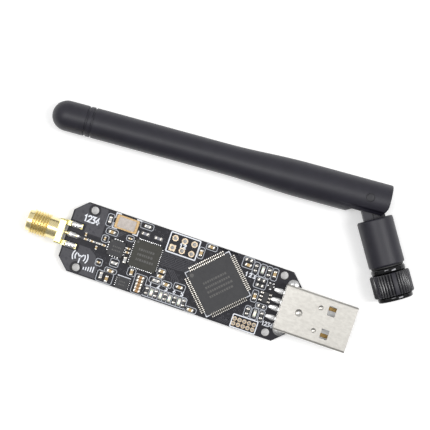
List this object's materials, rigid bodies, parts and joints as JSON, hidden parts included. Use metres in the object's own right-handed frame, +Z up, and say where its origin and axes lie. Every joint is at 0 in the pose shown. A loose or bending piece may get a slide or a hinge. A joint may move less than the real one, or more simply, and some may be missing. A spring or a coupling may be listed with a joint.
{
  "type": "spectrum analyzer",
  "caption": "USB stick radio spectrum analyzer: bare circuit board with a USB plug and a gold threaded antenna jack, beside its loose black folding antenna with a swivel base and fluted nut.",
  "frame": {"origin": "under the middle of the set's bounding box, on the surface that it lies on", "axes": "+X along the circuit board from the antenna jack to the USB plug, +Z up, the antenna lies on the +Y side"},
  "size_m": [0.101, 0.0471, 0.0103],
  "materials": {
    "solder_mask": "matte",
    "gold_plate": "satin",
    "insulator_white": "matte",
    "solder": "satin",
    "plug_steel": "satin",
    "chip_black": "matte",
    "chip_olive": "matte",
    "tin_lead": "satin",
    "crystal_gold": "satin",
    "crystal_steel": "satin",
    "ceramic_tan": "matte",
    "ceramic_black": "matte",
    "ceramic_white": "matte",
    "light_base": "matte",
    "light_lens": "gloss",
    "antenna_plastic": "matte",
    "copper": "satin",
    "brass_tube": "satin",
    "cable_black": "satin",
    "pin_steel": "satin",
    "black_chrome": "gloss",
    "grip_plastic": "satin",
    "spring_bronze": "satin"
  },
  "bodies": {
    "board": {"circuit_board": "solder_mask", "jack_body": "gold_plate", "jack_insulator": "insulator_white", "jack_centre_pin": "gold_plate", "jack_solder": "solder", "usb_shell": "plug_steel", "usb_tongue": "insulator_white", "usb_contacts": "gold_plate", "usb_solder": "solder", "processor_package": "chip_black", "processor_leads": "tin_lead", "radio_package": "chip_olive", "radio_pads": "tin_lead", "amplifier_package": "chip_olive", "amplifier_pads": "tin_lead", "regulator_package": "chip_black", "regulator_pads": "tin_lead", "logic_package": "chip_black", "logic_pads": "tin_lead", "surge_package": "chip_black", "surge_leads": "tin_lead", "crystal_base": "crystal_gold", "crystal_lid": "crystal_steel", "capacitor_bodies": "ceramic_tan", "capacitor_ends": "tin_lead", "resistor_bodies": "ceramic_black", "resistor_ends": "tin_lead", "inductor_bodies": "ceramic_white", "inductor_ends": "tin_lead", "light_bases": "light_base", "light_lenses": "light_lens", "wide_header_barrels": "gold_plate", "fine_header_barrels": "gold_plate"},
    "whip": {"whip_tube": "antenna_plastic", "tip_cap": "antenna_plastic", "radiator_wire": "copper", "balun_sleeve": "brass_tube", "whip_cable": "cable_black", "whip_spacers": "insulator_white", "elbow_pins": "pin_steel"},
    "base": {"swivel_base": "antenna_plastic", "elbow_cable": "cable_black"},
    "connector": {"connector_barrel": "black_chrome", "connector_insulator": "insulator_white", "connector_contact": "gold_plate", "base_cable": "cable_black", "snap_ring": "spring_bronze"},
    "nut": {"coupling_nut": "black_chrome", "nut_grip": "grip_plastic"}
  },
  "joints": [
    {"name": "antenna_lift", "type": "slide", "parent": "board", "child": "whip", "axis": [0, 0, 1], "range_m": [0, 0.06]},
    {"name": "elbow_tilt", "type": "hinge", "parent": "whip", "child": "base", "pos_m": [0.03208, 0.01893, 0.00482], "axis": [-0.012, 0.0093, 0.9999], "range_deg": [-30, 59.8]},
    {"name": "base_swivel", "type": "hinge", "parent": "base", "child": "connector", "pos_m": [0.03932, 0.00813, 0.00501], "axis": [0.5567, -0.8306, 0.0144], "continuous": true},
    {"name": "nut_spin", "type": "hinge", "parent": "connector", "child": "nut", "pos_m": [0.04433, 0.00066, 0.00514], "axis": [0.5567, -0.8306, 0.0144], "continuous": true}
  ]
}
